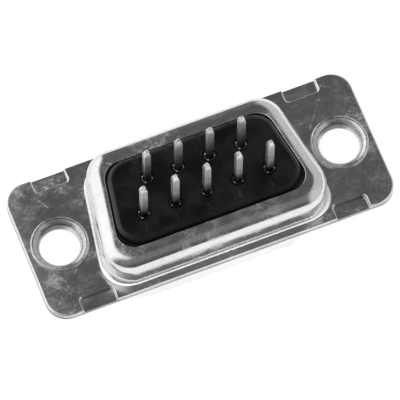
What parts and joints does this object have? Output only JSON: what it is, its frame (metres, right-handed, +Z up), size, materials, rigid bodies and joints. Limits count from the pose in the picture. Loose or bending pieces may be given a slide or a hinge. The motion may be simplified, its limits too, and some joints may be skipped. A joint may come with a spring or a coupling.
{
  "type": "d-sub connector",
  "caption": "D-sub plug with straight board tails: steel shells round black insulators, with eyelets in the flange.",
  "frame": {"origin": "centre of the mating shell's rim plane, at the bottom of the part", "axes": "+Z up from the mating side to the tips of the board tails; X along the flange, with contact 1 at the -X end of the row of five; -Y is the side of the row of five"},
  "size_m": [0.0308, 0.0126, 0.0159],
  "materials": {
    "shell_front": "dull tin plate over steel, smooth",
    "shell_rear": "bright tin plate over drawn steel, with faint scuffs",
    "insulator_front": "satin black glass-filled plastic",
    "insulator_rear": "satin black glass-filled plastic",
    "contacts": "dull tin on the tails, thin gold plate on the mating ends",
    "eyelets": "bright tin plate, smooth"
  },
  "bodies": {
    "root": {"front_shell": "shell_front", "rear_shell": "shell_rear", "front_insulator": "insulator_front", "rear_insulator": "insulator_rear", "contact_1": "contacts", "contact_2": "contacts", "contact_3": "contacts", "contact_4": "contacts", "contact_5": "contacts", "contact_6": "contacts", "contact_7": "contacts", "contact_8": "contacts", "contact_9": "contacts", "eyelet_left": "eyelets", "eyelet_right": "eyelets"}
  },
  "joints": []
}
